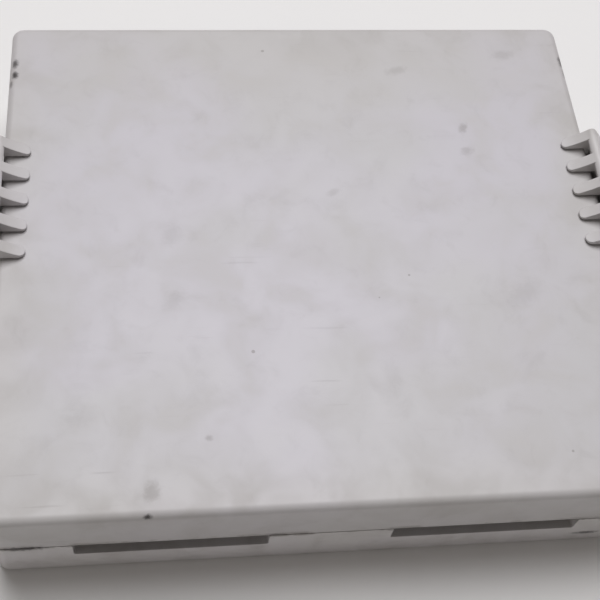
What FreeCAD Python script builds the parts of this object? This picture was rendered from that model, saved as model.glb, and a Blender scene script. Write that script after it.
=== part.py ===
import FreeCAD, Part
import math
import os

# A wall or desk box that ends a fibre cable in four SC ports. Millimetres, +Z up.
# X runs along the long side, the cable slots face -Y and the ports face +Y.
# The origin is the middle of the base's underside, on the face that rests on the wall.

V = FreeCAD.Vector

# ---------------------------------------------------------------- case
WIDTH = 120.0
DEPTH = 110.0
HEIGHT = 25.0
WALL = 2.0
FLOOR = 2.0
ROOF = 2.0
CORNER_R = 2.5
TOP_EDGE_R = 1.4
FOOT_EDGE_R = 0.8
SEAM_Z = 12.5
SEAM_GAP = 0.35
TONGUE_T = 0.9
TONGUE_H = 1.8
FIT = 0.15
ROOF_RIB_T = 1.0
ROOF_RIB_H = 1.2
ROOF_RIB_SHARE_X = 0.28
ROOF_RIB_SHARE_Y = 0.26
PAST = 1.0
NEAR = 1e-5

# ---------------------------------------------------------------- cable slots in the front wall
SLOT_LENGTH = 34.5
SLOT_HEIGHT = 4.7
SLOT_SPACING = 56.9
SLOT_CORNER_R = 0.5

# ---------------------------------------------------------------- wall screw holes
MOUNT_HOLE_R = 2.25
MOUNT_SPACING_Y = 64.0
MOUNT_FROM_SIDE = 9.5
MOUNT_FROM_FRONT = 9.0
MOUNT_BOSS_R = 4.4
MOUNT_BOSS_H = 1.4

# ---------------------------------------------------------------- cable tie arches and fibre hooks
TIE_W = 8.0
TIE_D = 4.0
TIE_H = 4.5
TIE_LEG = 1.4
TIE_ROOM_H = 3.2
HOOK_REACH = 5.0
HOOK_W = 4.0
HOOK_T = 1.2
HOOK_DROP = 3.0
HOOK_SHARES = (0.25, 0.85)

# ---------------------------------------------------------------- side latches
LATCH_BACK_OF_MIDDLE = 9.3
FIN_COUNT = 5
FIN_T = 2.36
FIN_PITCH = 5.96
NOSE_REACH = 5.5
NOSE_RISE = 0.4
NOSE_T = 0.25
NOSE_CORNER_R = 0.95
END_CORNER_R = 1.36
FIN_DIP = 0.25
FIN_ROOT = 0.85
FIN_UNDERCUT = 1.6
RIDGE_RISE = 3.9
RIDGE_IN = 0.75
RIDGE_FLAT = 1.75
RIDGE_ROUND_X = 0.35
RIDGE_ROUND_Z = 0.7
LATCH_SKIN = 1.7
LATCH_GAP = 0.7
LATCH_SIDE_GAP = 0.3
LATCH_FOOT_Z = 4.2
LATCH_FOOT_IN = 1.6
LATCH_FOOT_RISE = 0.8
LATCH_FOOT_TOP = 1.6
LATCH_RIB_Z = 6.6
PIN_R = 0.9
PIN_OUT = 2.3
PIN_BELOW_TOP = 5.6
PIN_RUNNING = 0.05
LUG_R = 1.75
LUG_T = 2.8
LUG_CLEAR = 0.3
LUG_ROOT_DROP = 1.2
LUG_ROOT_RISE = 0.4
BEAD_OUT = 0.35
BEAD_H = 1.1
BEAD_CLEAR = 0.06
BEAD_Z = 7.6
BEAD_LAND_DOWN = 0.3
BEAD_LAND_UP = 0.2
SPRING_WIRE_R = 0.2
SPRING_TURNS = 3.5
SPRING_LEG_UP = 3.0
SPRING_LEG_DOWN = 4.2
SPRING_LEAN_UP = 15
SPRING_LEAN_DOWN = 8
SPRING_LEG_START = 0.15
SPRING_COIL_CLEAR = 0.15
SPRING_PITCH = 0.44

# ---------------------------------------------------------------- SC ports
PORT_COUNT = 4
PORT_SIDE_ROOM = 8.0
ADAPTER_W = 12.7
ADAPTER_H = 9.3
ADAPTER_L = 28.6
ADAPTER_LIFT = 0.75
ADAPTER_PROUD = 7.6
PLUG_W = 9.1
PLUG_H = 7.5
PLUG_DEPTH = 12.4
KEY_W = 2.4
KEYWAY_SHARE = 0.7
ADAPTER_EDGE_R = 0.5
FLANGE_W = 17.6
FLANGE_T = 2.0
FLANGE_CORNER_R = 0.8
SLEEVE_R = 1.6
SLEEVE_BORE_R = 1.25
SLEEVE_L = 11.4
SLEEVE_SLIT = 0.4
HOLDER_R = 2.5
HOLDER_L = 6.2
HOLDER_PLAY = 0.35
CLIP_T = 0.3
CLIP_L = 5.0
CLIP_PLAY = 0.05
CLIP_FROM_FLANGE = 0.6
CLIP_SHARE_UP = 0.6
CLIP_TAB_OUT = 0.9
CLIP_TAB_LOW = 3.4
CLIP_TAB_H = 2.4
CAP_CLEAR = 0.2
CAP_INSERT = 9.0
CAP_HEAD_T = 1.4
CAP_HEAD_W = 1.2
CAP_HEAD_H = 0.4
CAP_CORNER_R = 1.0
CAP_PLUG_R = 0.6
CAP_GRIP_L = 4.2
CAP_GRIP_W = 7.0
CAP_GRIP_H = 4.4
CAP_GROOVE_D = 0.35
CAP_GROOVE_W = 0.5
CAP_GROOVES = (0.35, 0.6, 0.85)

# ---------------------------------------------------------------- pigtails
PLUG_CLEAR = 0.1
PLUG_IN = 12.0
PLUG_OUT = 8.0
PLUG_GRIP_T = 0.9
PLUG_GRIP_D = 0.35
PLUG_GRIP_FROM_END = 0.8
PLUG_GRIPS = 4
PLUG_SOCKET_L = 5.0
FERRULE_CLEAR = 0.01
FERRULE_HELD = 4.0
FERRULE_TIP_GAP = 0.05
FERRULE_CHAMFER_R = 0.25
BOOT_L = 9.0
BOOT_R0 = 2.9
BOOT_R1 = 1.3
BOOT_STUB_R = 2.32
BOOT_STUB_L = 1.4
BOOT_CORE_R = 0.95
BOOT_CUTS = 4
BOOT_CUT_W = 0.5
BOOT_CUT_PITCH = 1.7
BOOT_CUT_FROM_END = 1.2
FIBRE_R = 0.45
FIBRE_CLEAR = 0.03
FIBRE_PITCH = 1.4
FIBRE_BEND_R = 7.5
SLEEVE_BEND_R = 4.5
RUN_SHARE = 0.45
TRACK_PITCH = 1.2
TRACK_INNER_R = 12.4
TRACK_CENTRE_IN = 2.0
TRACK_ANGLES = (5, -35, -75, -115)
LANE_FROM_TRAY = 2.2
SHORT_LANE_LATER = 3.2
SHORT_TURN_OUT = 3.0
SHORT_TURN_FROM_TRAY = 0.6
FIBRE_IN_BOOT = 1.5
FIBRE_IN_SLEEVE = 7.0
MOUTH_ROOM = 4.09
MOUTH_STEP = 0.1
RISE_ROOM = 2.4
RISE_ROOM_STEP = 0.6
RISE_SHARE = 0.5
RISE_SHARE_STEP = 0.05

# ---------------------------------------------------------------- adapter retainer
RETAINER_T = 1.6
RETAINER_TOP = 14.0
RETAINER_FOOT_Z = 5.0
RETAINER_FOOT_T = 1.6
RETAINER_CORNER_R = 1.2
RETAINER_FOOT_GAP = 0.4
CRADLE_T = 1.8
CRADLE_TOP = 7.2
GUIDE_T = 1.4
GUIDE_REACH = 3.0

# ---------------------------------------------------------------- splice tray
TRAY_T = 1.2
TRAY_Z = 5.0
TRAY_TOP = 12.0
TRAY_WALL = 1.2
TRAY_SIDE_ROOM = 3.6
TRAY_CORNER_R = 20.2
CABLE_ZONE = 15.0
PLUG_ZONE = 30.0
HUB_R = 9.5
HUB_FROM_WALL = 15.2
GATE_IN = 4.0
GATE_OUT = 13.7
GATE_D = 11.5
TRAY_SCREW_FROM_EDGE = 4.2
KEEPER_REACH = 2.6
KEEPER_W = 4.0
KEEPER_T = 1.0
KEEPER_ANGLES = (60, 300)
SCREW_PAD = 0.6
HOLDER_SLOTS = 4
HOLDER_PITCH = 3.8
HOLDER_WEB = 0.9
HOLDER_X = 24.0
HOLDER_HEIGHT = 5.0
HOLDER_BED = 1.0
HOLDER_KERB = 1.2
HOLDER_NOTCH_SHARE = 0.36
HOLDER_NOTCH_Z = 2.6
HOLDER_MOUTH_SHARE = 0.82
SPLICE_L = 40.0
SPLICE_R = 1.35
SPLICE_ROD_R = 0.6
SPLICE_SKIN = 0.15
SPLICE_PLAY = 0.05
ROD_FROM_END = 1.5

# ---------------------------------------------------------------- cable clamps
CLAMP_W = 30.0
CLAMP_D = 6.0
CLAMP_T = 2.4
CLAMP_TEETH = 5
CLAMP_GAP = 2.2
CLAMP_TOOTH_H = 0.5
CLAMP_CORNER_R = 1.74
SADDLE_TOOTH_H = 0.6
SADDLE_FROM_POST = 0.6
SADDLE_ABOVE_SILL = 0.4
CLAMP_FROM_WALL = 6.0

# ---------------------------------------------------------------- self-tapping screws
SCREW_R = 1.1
SCREW_HEAD_R = 2.1
SCREW_HEAD_H = 1.3
SCREW_L = 5.0
SCREW_TIP_R = 0.2
SCREW_HEAD_ROUND = 0.58
SCREW_CROSS_REACH = 1.26
SCREW_CROSS_W = 0.5
SCREW_CROSS_D = 0.7
SCREW_THREAD_PLAY = 0.02
POST_R = 2.9
POST_FLOOR = 0.9

# ---------------------------------------------------------------- worked out from the above
SIDE = WIDTH / 2
FRONT = -DEPTH / 2
BACK = DEPTH / 2
BASE_TOP = SEAM_Z - SEAM_GAP / 2
COVER_FOOT = SEAM_Z + SEAM_GAP / 2
INNER_R = max(CORNER_R - WALL, 0.5)
LATCH_W = FIN_PITCH * (FIN_COUNT - 1) + FIN_T
LATCH_Y0 = LATCH_BACK_OF_MIDDLE - LATCH_W / 2
LATCH_Y1 = LATCH_Y0 + LATCH_W
RIDGE_X = SIDE - RIDGE_IN
RIDGE_TOP = HEIGHT + RIDGE_RISE
NOSE_X = SIDE - NOSE_REACH
NOSE_LOW = HEIGHT + NOSE_RISE
FIN_GAP = FIN_PITCH - FIN_T
PIN_X = SIDE + PIN_OUT
PIN_Z = HEIGHT - PIN_BELOW_TOP
SKIN_IN = PIN_X + LUG_R + LUG_CLEAR
SKIN_OUT = SKIN_IN + LATCH_SKIN
CLEARANCE_R = SCREW_R + FIT
PORT_PITCH = (WIDTH - 2 * WALL - 2 * PORT_SIDE_ROOM) / PORT_COUNT
PORTS = [PORT_PITCH * (i - (PORT_COUNT - 1) / 2) for i in range(PORT_COUNT)]
PORT_Z = FLOOR + ADAPTER_LIFT + ADAPTER_H / 2
PORT_Y = BACK + ADAPTER_PROUD - ADAPTER_L / 2
WINDOW_W = ADAPTER_W + 2 * FIT
CRADLE_Y0 = PORT_Y + FLANGE_T / 2 + FIT
RETAINER_Y1 = PORT_Y - FLANGE_T / 2 - FIT
RETAINER_Y0 = RETAINER_Y1 - RETAINER_T
TRAY_Y0 = FRONT + WALL + CABLE_ZONE
TRAY_Y1 = BACK + ADAPTER_PROUD - ADAPTER_L - PLUG_ZONE
TRAY_Y = (TRAY_Y0 + TRAY_Y1) / 2
TRAY_X = SIDE - WALL - TRAY_SIDE_ROOM
HUB_X = TRAY_X - TRAY_WALL - HUB_FROM_WALL
CLAMP_Y0 = FRONT + WALL + CLAMP_FROM_WALL
CLAMP_Y = CLAMP_Y0 + CLAMP_D / 2
SADDLE_TOP = SEAM_Z - SLOT_HEIGHT + SADDLE_ABOVE_SILL
CLAMP_Z = SADDLE_TOP + CLAMP_GAP
SADDLE_HALF = CLAMP_W / 2 - 2 * POST_R - SADDLE_FROM_POST
MOUNT_X = SIDE - MOUNT_FROM_SIDE
MOUNT_Y0 = FRONT + MOUNT_FROM_FRONT


# ---------------------------------------------------------------- shapes used by several pieces
def block(x0, x1, y0, y1, z0, z1):
    return Part.makeBox(x1 - x0, y1 - y0, z1 - z0, V(x0, y0, z0))


def upright_edges(shape):
    found = []
    for e in shape.Edges:
        a, b = e.Vertexes[0].Point, e.Vertexes[-1].Point
        if abs(a.x - b.x) < NEAR and abs(a.y - b.y) < NEAR and abs(a.z - b.z) > NEAR:
            found.append(e)
    return found


def edges_at(shape, z):
    return [e for e in shape.Edges if abs(e.BoundBox.ZMin - z) < NEAR and abs(e.BoundBox.ZMax - z) < NEAR]


def edges_along_y(shape):
    found = []
    for e in shape.Edges:
        b = e.BoundBox
        if b.YLength > NEAR and b.XLength < NEAR and b.ZLength < NEAR:
            found.append(e)
    return found


def slab(half_x, y0, y1, z0, z1, r):
    """An upright block with rounded corners, centred on X."""
    shape = block(-half_x, half_x, y0, y1, z0, z1)
    return shape.makeFillet(r, upright_edges(shape))


def post(x, y, z0, z1, r):
    return Part.makeCylinder(r, z1 - z0, V(x, y, z0))


def rod_y(x, y0, y1, z, r):
    return Part.makeCylinder(r, y1 - y0, V(x, y0, z), V(0, 1, 0))


def rod_x(x0, x1, y, z, r):
    return Part.makeCylinder(r, x1 - x0, V(x0, y, z), V(1, 0, 0))


def profile_xz(edges, y0, y1):
    """Edges that close an outline in the XZ plane at y0, drawn out to y1."""
    return Part.Face(Part.Wire(edges)).extrude(V(0, y1 - y0, 0))


def polygon_xz(points, y0, y1):
    corners = [V(x, y0, z) for x, z in points]
    return Part.Face(Part.makePolygon(corners + corners[:1])).extrude(V(0, y1 - y0, 0))


def joined(shapes):
    first = shapes[0].multiFuse(shapes[1:]) if len(shapes) > 1 else shapes[0]
    return first.removeSplitter()


def cut_all(shape, tools):
    return shape.cut(Part.makeCompound(tools))


def mirrored(shape):
    return shape.mirror(V(0, 0, 0), V(1, 0, 0))


def screw(x, y, under_head):
    """A pan-head self-tapping screw, pointing down, with a crossed recess."""
    head = post(x, y, under_head, under_head + SCREW_HEAD_H, SCREW_HEAD_R)
    head = head.makeFillet(SCREW_HEAD_ROUND, edges_at(head, under_head + SCREW_HEAD_H))
    shank = post(x, y, under_head - SCREW_L + SCREW_R, under_head, SCREW_R)
    tip = Part.makeCone(SCREW_TIP_R, SCREW_R, SCREW_R, V(x, y, under_head - SCREW_L))
    arm, slot = SCREW_CROSS_REACH, SCREW_CROSS_W / 2
    top = under_head + SCREW_HEAD_H
    cross = [
        block(x - arm, x + arm, y - slot, y + slot, top - SCREW_CROSS_D, top + PAST),
        block(x - slot, x + slot, y - arm, y + arm, top - SCREW_CROSS_D, top + PAST),
    ]
    return cut_all(joined([head, shank, tip]), cross)


def pilot(x, y, top):
    """The hole that a screw cuts its thread in, in a post that stands on the floor."""
    return post(x, y, POST_FLOOR, top + PAST, SCREW_R + SCREW_THREAD_PLAY)


# ---------------------------------------------------------------- places that pieces share
def tray_screw_places():
    ends = [(s * HUB_X, TRAY_Y) for s in (-1, 1)]
    return ends + [(0, TRAY_Y0 + TRAY_SCREW_FROM_EDGE), (0, TRAY_Y1 - TRAY_SCREW_FROM_EDGE)]


def clamp_screw_places(side):
    middle = side * SLOT_SPACING / 2
    return [(middle + s * (CLAMP_W / 2 - POST_R), CLAMP_Y) for s in (-1, 1)]


def mount_places():
    ys = (MOUNT_Y0, MOUNT_Y0 + MOUNT_SPACING_Y)
    return [(s * MOUNT_X, y) for s in (-1, 1) for y in ys]


# ---------------------------------------------------------------- base
def base_shell():
    outer = slab(SIDE, FRONT, BACK, 0, BASE_TOP, CORNER_R)
    outer = outer.makeFillet(FOOT_EDGE_R, edges_at(outer, 0))
    step = WALL - TONGUE_T
    tongue = slab(SIDE - step, FRONT + step, BACK - step, FLOOR, BASE_TOP + TONGUE_H,
                  max(CORNER_R - step, 0.5))
    room = slab(SIDE - WALL, FRONT + WALL, BACK - WALL, FLOOR, BASE_TOP + TONGUE_H + PAST,
                INNER_R)
    return joined([outer, tongue]).cut(room)


def cable_slot(side):
    middle = side * SLOT_SPACING / 2
    half = SLOT_LENGTH / 2
    slot = block(middle - half, middle + half, FRONT - PAST, FRONT + WALL + PAST,
                 SEAM_Z - SLOT_HEIGHT, BASE_TOP + TONGUE_H + PAST)
    low = [e for e in edges_along_y(slot) if e.BoundBox.ZMax < SEAM_Z]
    return slot.makeFillet(SLOT_CORNER_R, low)


def port_window(x):
    return block(x - WINDOW_W / 2, x + WINDOW_W / 2, BACK - WALL - PAST, BACK + PAST,
                 PORT_Z - ADAPTER_H / 2 - FIT, BASE_TOP + TONGUE_H + PAST)


def cradle():
    """The low wall behind the adapters' flanges, notched for each adapter."""
    wall = block(-SIDE + WALL, SIDE - WALL, CRADLE_Y0, CRADLE_Y0 + CRADLE_T, FLOOR, CRADLE_TOP)
    notches = [
        block(x - WINDOW_W / 2, x + WINDOW_W / 2, CRADLE_Y0 - PAST, CRADLE_Y0 + CRADLE_T + PAST,
              PORT_Z - ADAPTER_H / 2 - FIT, CRADLE_TOP + PAST)
        for x in PORTS
    ]
    return cut_all(wall, notches)


def retainer_guides():
    """Pairs of upright ribs on the side walls that the retainer drops between."""
    ribs = []
    for s in (-1, 1):
        x0, x1 = sorted((s * (SIDE - WALL), s * (SIDE - WALL - GUIDE_REACH)))
        for y0 in (RETAINER_Y0 - FIT - GUIDE_T, RETAINER_Y1 + FIT):
            ribs.append(block(x0, x1, y0, y0 + GUIDE_T, FLOOR, BASE_TOP))
    return ribs


def clamp_tooth(middle, y, z, rise):
    """A three-cornered rib across a cable, on a flat at z."""
    x = middle - SADDLE_HALF
    width = CLAMP_D / CLAMP_TEETH
    corners = [V(x, y, z), V(x, y + width, z), V(x, y + width / 2, z + rise), V(x, y, z)]
    return Part.Face(Part.makePolygon(corners)).extrude(V(2 * SADDLE_HALF, 0, 0))


def saddle(side):
    """The ribbed block that a cable is clamped down on, between its two screw posts."""
    middle = side * SLOT_SPACING / 2
    body = block(middle - SADDLE_HALF, middle + SADDLE_HALF, CLAMP_Y0, CLAMP_Y0 + CLAMP_D, FLOOR, SADDLE_TOP)
    starts = [CLAMP_Y0 + CLAMP_D / CLAMP_TEETH * i for i in range(CLAMP_TEETH)]
    teeth = [clamp_tooth(middle, y, SADDLE_TOP, SADDLE_TOOTH_H) for y in starts]
    posts = [post(x, y, FLOOR, CLAMP_Z, POST_R) for x, y in clamp_screw_places(side)]
    return joined([body] + teeth + posts)


def tie_bridge(x, y):
    """A small arch on the floor that a cable tie goes through."""
    w, d = TIE_W / 2, TIE_D / 2
    arch = block(x - w, x + w, y - d, y + d, FLOOR, FLOOR + TIE_H)
    room_w, room_d = w - TIE_LEG, d + PAST
    return arch.cut(block(x - room_w, x + room_w, y - room_d, y + room_d, FLOOR, FLOOR + TIE_ROOM_H))


def fibre_hook(side, y):
    """A hook on the side wall that keeps fibre down in the plug bay."""
    root, tip = SIDE - WALL, SIDE - WALL - HOOK_REACH
    x0, x1 = sorted((side * root, side * tip))
    t0, t1 = sorted((side * (tip + HOOK_T), side * tip))
    y0, y1 = y - HOOK_W / 2, y + HOOK_W / 2
    arm = block(x0, x1, y0, y1, BASE_TOP - HOOK_T, BASE_TOP)
    return joined([arm, block(t0, t1, y0, y1, BASE_TOP - HOOK_DROP, BASE_TOP)])


def bead_groove(side):
    """The shallow groove in the side wall that a latch's bead sits in."""
    x0, x1 = sorted((side * (SIDE - BEAD_OUT), side * (SIDE + PAST)))
    return block(x0, x1, LATCH_Y0 - PAST, LATCH_Y1 + PAST, BEAD_Z - BEAD_H, BEAD_Z + BEAD_H)


def base():
    pieces = [base_shell(), cradle()] + retainer_guides()
    pieces += [saddle(-1), saddle(1)]
    pieces += [tie_bridge(0, CLAMP_Y), tie_bridge(0, TRAY_Y1 + PLUG_ZONE / 2)]
    pieces += [fibre_hook(s, TRAY_Y1 + PLUG_ZONE * k) for s in (-1, 1) for k in HOOK_SHARES]
    pieces += [post(x, y, FLOOR, TRAY_Z, POST_R) for x, y in tray_screw_places()]
    pieces += [post(x, y, FLOOR, FLOOR + MOUNT_BOSS_H, MOUNT_BOSS_R) for x, y in mount_places()]
    pieces.append(post(0, retainer_foot_y(), FLOOR, RETAINER_FOOT_Z, POST_R))
    tools = [cable_slot(-1), cable_slot(1), bead_groove(-1), bead_groove(1)]
    tools += [port_window(x) for x in PORTS]
    tools += [post(x, y, -PAST, FLOOR + MOUNT_BOSS_H + PAST, MOUNT_HOLE_R) for x, y in mount_places()]
    tools += [pilot(x, y, TRAY_Z) for x, y in tray_screw_places()]
    for side in (-1, 1):
        tools += [pilot(x, y, CLAMP_Z) for x, y in clamp_screw_places(side)]
    tools.append(pilot(0, retainer_foot_y(), RETAINER_FOOT_Z))
    return cut_all(joined(pieces), tools)


# ---------------------------------------------------------------- cover
def cover():
    outer = slab(SIDE, FRONT, BACK, COVER_FOOT, HEIGHT, CORNER_R)
    outer = outer.makeFillet(TOP_EDGE_R, edges_at(outer, HEIGHT))
    room = slab(SIDE - WALL, FRONT + WALL, BACK - WALL, COVER_FOOT - PAST, HEIGHT - ROOF, INNER_R)
    step = WALL - TONGUE_T - FIT
    rebate = slab(SIDE - step, FRONT + step, BACK - step, COVER_FOOT - PAST,
                  BASE_TOP + TONGUE_H + FIT, max(CORNER_R - step, 0.5))
    shell = outer.cut(room).cut(rebate)
    lugs = [latch_lug(side, gap) for side in (-1, 1) for gap in (0, FIN_COUNT - 2)]
    return joined([shell] + roof_ribs() + lugs)


def roof_ribs():
    """Three low stiffening ribs each way under the roof."""
    half = ROOF_RIB_T / 2
    edge = WALL / 2
    low, high = HEIGHT - ROOF - ROOF_RIB_H, HEIGHT - ROOF / 2
    ribs = []
    for k in (-1, 0, 1):
        y = k * DEPTH * ROOF_RIB_SHARE_Y
        ribs.append(block(-SIDE + edge, SIDE - edge, y - half, y + half, low, high))
        x = k * WIDTH * ROOF_RIB_SHARE_X
        ribs.append(block(x - half, x + half, FRONT + edge, BACK - edge, low, high))
    return ribs


def gap_middle(gap):
    """The middle, along Y, of the space after fin number gap."""
    return LATCH_Y0 + FIN_PITCH * gap + FIN_T + FIN_GAP / 2


def latch_lug(side, gap):
    """An ear on the cover's side wall that holds the latch's pin."""
    y0 = gap_middle(gap) - LUG_T / 2
    y1 = y0 + LUG_T
    root = SIDE - WALL / 2
    ear = polygon_xz([(root, PIN_Z - LUG_R - LUG_ROOT_DROP), (PIN_X, PIN_Z - LUG_R),
                      (PIN_X, PIN_Z + LUG_R), (root, PIN_Z + LUG_R + LUG_ROOT_RISE)], y0, y1)
    lug = joined([ear, rod_y(PIN_X, y0, y1, PIN_Z, LUG_R)])
    lug = lug.cut(rod_y(PIN_X, y0 - PAST, y1 + PAST, PIN_Z, PIN_R))
    return lug if side > 0 else mirrored(lug)


# ---------------------------------------------------------------- latches
def latch_skin():
    """The curved outer plate of the right-hand latch, leaning in over the cover's edge at its top ridge."""
    y = LATCH_Y0
    under_lug = SKIN_IN - LATCH_SIDE_GAP / 2
    above_lug = PIN_Z + LUG_R + LUG_CLEAR
    ridge_end = V(RIDGE_X + RIDGE_FLAT, y, RIDGE_TOP)
    foot_out = V(SKIN_OUT - LATCH_FOOT_IN, y, LATCH_FOOT_Z)
    foot_in = V(SKIN_IN - LATCH_FOOT_IN, y, LATCH_FOOT_Z)
    shoulder = V(under_lug, y, above_lug)
    neck = V(SIDE + LATCH_GAP + LATCH_SIDE_GAP, y, NOSE_LOW - LUG_ROOT_RISE - FIT)
    lip = V(SIDE + LATCH_SIDE_GAP, y, NOSE_LOW)
    inner_edge = V(RIDGE_X, y, RIDGE_TOP - RIDGE_ROUND_Z)
    edges = [
        Part.Arc(ridge_end, V(SKIN_OUT, y, PIN_Z), foot_out).toShape(),
        Part.LineSegment(foot_out, foot_in).toShape(),
        Part.Arc(foot_in, V(SKIN_IN, y, PIN_Z - LUG_R / 2), shoulder).toShape(),
        Part.LineSegment(shoulder, neck).toShape(),
        Part.LineSegment(neck, lip).toShape(),
        Part.LineSegment(lip, inner_edge).toShape(),
        Part.Arc(inner_edge, ridge_shoulder(y), ridge_end).toShape(),
    ]
    return profile_xz(edges, LATCH_Y0, LATCH_Y1)


def ridge_shoulder(y):
    """The point where the top ridge's rounding meets the fins."""
    return V(RIDGE_X + RIDGE_ROUND_X, y, RIDGE_TOP - FIN_DIP / 2)


def latch_fin(number):
    """One rib of the right-hand latch: a hollowed wedge over the cover's edge, then down inside the skin."""
    y = LATCH_Y0 + FIN_PITCH * number
    inner = SIDE + LATCH_GAP
    start, end = V(NOSE_X, y, NOSE_LOW + NOSE_T), ridge_shoulder(y)
    slope = (end - start).normalize()
    dip = (start + end) * 0.5 + V(slope.z, 0, -slope.x) * FIN_DIP
    line = [
        end,
        V(RIDGE_X + RIDGE_FLAT, y, RIDGE_TOP - LATCH_SIDE_GAP),
        V(SKIN_IN + FIN_ROOT - LATCH_SIDE_GAP, y, HEIGHT - PAST),
        V(SKIN_IN + FIN_ROOT, y, PIN_Z),
        V(SKIN_IN, y, LATCH_RIB_Z),
        V(inner, y, LATCH_RIB_Z),
        V(inner, y, NOSE_LOW - FIN_UNDERCUT),
        V(SIDE + LATCH_SIDE_GAP, y, NOSE_LOW),
        V(NOSE_X, y, NOSE_LOW),
        start,
    ]
    edges = [Part.Arc(start, dip, end).toShape()]
    edges += [Part.LineSegment(a, b).toShape() for a, b in zip(line, line[1:])]
    return profile_xz(edges, y, y + FIN_T).common(fin_plan(number))


def fin_plan(number):
    """A fin's outline from above, with its nose rounded, most of all on the outermost sides."""
    y = LATCH_Y0 + FIN_PITCH * number
    plan = block(NOSE_X, SKIN_OUT + PAST, y, y + FIN_T, 0, RIDGE_TOP + PAST)
    for corner, outermost in ((y, number == 0), (y + FIN_T, number == FIN_COUNT - 1)):
        edge = [e for e in upright_edges(plan)
                if abs(e.Vertexes[0].X - NOSE_X) < NEAR and abs(e.Vertexes[0].Y - corner) < NEAR]
        plan = plan.makeFillet(END_CORNER_R if outermost else NOSE_CORNER_R, edge)
    return plan


def latch_bead():
    tip = SIDE + BEAD_CLEAR
    root = SIDE + LATCH_GAP * 2
    return polygon_xz([(root, BEAD_Z - BEAD_H), (tip, BEAD_Z - BEAD_LAND_DOWN),
                       (tip, BEAD_Z + BEAD_LAND_UP), (root, BEAD_Z + BEAD_H)], LATCH_Y0, LATCH_Y1)


def latch_foot():
    """The thick bottom of the latch behind its bead."""
    low, high = LATCH_FOOT_Z + LATCH_FOOT_RISE, BEAD_Z + LATCH_FOOT_TOP
    near = SIDE + LATCH_GAP
    corners = [(near, low), (SKIN_IN - PAST, low), (SKIN_IN - LATCH_SIDE_GAP / 2, high), (near, high)]
    return polygon_xz(corners, LATCH_Y0, LATCH_Y1)


def latch():
    """The right-hand latch."""
    pieces = [latch_skin(), latch_foot(), latch_bead()] + [latch_fin(i) for i in range(FIN_COUNT)]
    bore = rod_y(PIN_X, LATCH_Y0 - PAST, LATCH_Y1 + PAST, PIN_Z, PIN_R + PIN_RUNNING)
    return joined(pieces).cut(bore)


def latch_pin():
    return rod_y(PIN_X, LATCH_Y0, LATCH_Y1, PIN_Z, PIN_R)


def latch_spring():
    """A torsion spring on the pin, one leg on the cover's wall and one on the latch's skin."""
    coil_r = PIN_R + SPRING_COIL_CLEAR + SPRING_WIRE_R
    length = SPRING_PITCH * SPRING_TURNS
    y0 = gap_middle(1) - length / 2
    helix = Part.makeHelix(SPRING_PITCH, length, coil_r)
    ring = Part.Wire(Part.Circle(V(coil_r, 0, 0), V(0, 1, 0), SPRING_WIRE_R).toShape())
    coil = Part.Wire(helix.Edges).makePipeShell([ring], True, True)
    coil.rotate(V(0, 0, 0), V(1, 0, 0), -90)
    coil.translate(V(PIN_X, y0, PIN_Z))
    up_from = V(PIN_X + coil_r, y0, PIN_Z - SPRING_LEG_START)
    down_from = V(PIN_X - coil_r, y0 + length, PIN_Z + SPRING_LEG_START)
    up = spring_leg(up_from, SPRING_LEG_UP, SPRING_LEAN_UP, 1)
    down = spring_leg(down_from, SPRING_LEG_DOWN, SPRING_LEAN_DOWN, -1)
    return joined([coil, up, down])


def spring_leg(start, length, lean, upward):
    """A straight leg that leans in towards the case by an angle in degrees."""
    angle = math.radians(lean)
    return Part.makeCylinder(SPRING_WIRE_R, length, start, V(-math.sin(angle), 0, upward * math.cos(angle)))


# ---------------------------------------------------------------- SC adapters
def adapter(x):
    w, h, l = ADAPTER_W / 2, ADAPTER_H / 2, ADAPTER_L / 2
    y, z = PORT_Y, PORT_Z
    body = block(x - w, x + w, y - l, y + l, z - h, z + h)
    body = body.makeFillet(ADAPTER_EDGE_R, edges_along_y(body))
    flange = block(x - FLANGE_W / 2, x + FLANGE_W / 2, y - FLANGE_T / 2, y + FLANGE_T / 2, z - h, z + h)
    flange = flange.makeFillet(FLANGE_CORNER_R, edges_along_y(flange))
    rooms = clip_seat(x)
    for s in (-1, 1):
        y0, y1 = sorted((y + s * (l - PLUG_DEPTH), y + s * (l + PAST)))
        rooms.append(block(x - PLUG_W / 2, x + PLUG_W / 2, y0, y1, z - PLUG_H / 2, z + PLUG_H / 2))
        k0, k1 = sorted((y + s * (l - PLUG_DEPTH * KEYWAY_SHARE), y + s * (l + PAST)))
        rooms.append(block(x - KEY_W / 2, x + KEY_W / 2, k0, k1, z, z + h + PAST))
    hollow = cut_all(joined([body, flange]), rooms)
    holder = rod_y(x, y - HOLDER_L, y + HOLDER_L, z, HOLDER_R)
    bore = rod_y(x, y - ADAPTER_L, y + ADAPTER_L, z, SLEEVE_R + CLIP_PLAY)
    return joined([hollow, holder]).cut(bore)


def clip_seat(x):
    """The shallow seats on both sides and below, where the spring clip lies."""
    w, h = ADAPTER_W / 2, ADAPTER_H / 2
    y1 = PORT_Y - FLANGE_T / 2 - CLIP_FROM_FLANGE
    y0 = y1 - CLIP_L
    deep = CLIP_T + CLIP_PLAY
    low, high = PORT_Z - h - PAST, PORT_Z + h * CLIP_SHARE_UP
    return [
        block(x - w - PAST, x - w + deep, y0, y1, low, high),
        block(x + w - deep, x + w + PAST, y0, y1, low, high),
        block(x - w - PAST, x + w + PAST, y0, y1, low, PORT_Z - h + deep),
    ]


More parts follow.
